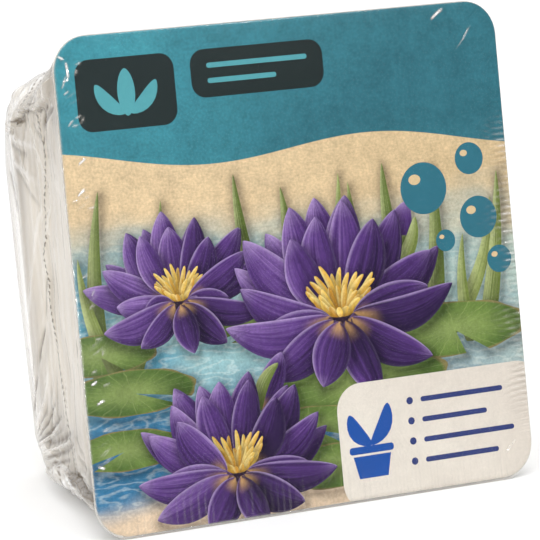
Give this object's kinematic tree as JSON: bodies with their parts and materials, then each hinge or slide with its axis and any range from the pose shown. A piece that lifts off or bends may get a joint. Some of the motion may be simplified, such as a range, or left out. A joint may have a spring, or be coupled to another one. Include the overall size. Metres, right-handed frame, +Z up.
{
  "type": "shrink-wrapped water plant kit",
  "caption": "Tapered white planting tub closed by a square printed card with rounded corners, shrink-wrapped in clear film and standing on its lower side.",
  "frame": {"origin": "on the surface it stands on, under the middle of its bounding box", "axes": "+Z up; the card faces -Y and leans back; +X to the viewer's right"},
  "size_m": [0.1968, 0.1312, 0.1936],
  "materials": {
    "printed_card": "coated carton printed in teal, kraft, blue, purple and green, silk sheen",
    "white_tub": "off-white moulded polypropylene, faint moulding sheen",
    "clear_film": "clear glossy polyolefin shrink film with fine wrinkles"
  },
  "bodies": {
    "root": {"card": "printed_card", "tub": "white_tub", "film": "clear_film"}
  },
  "joints": []
}
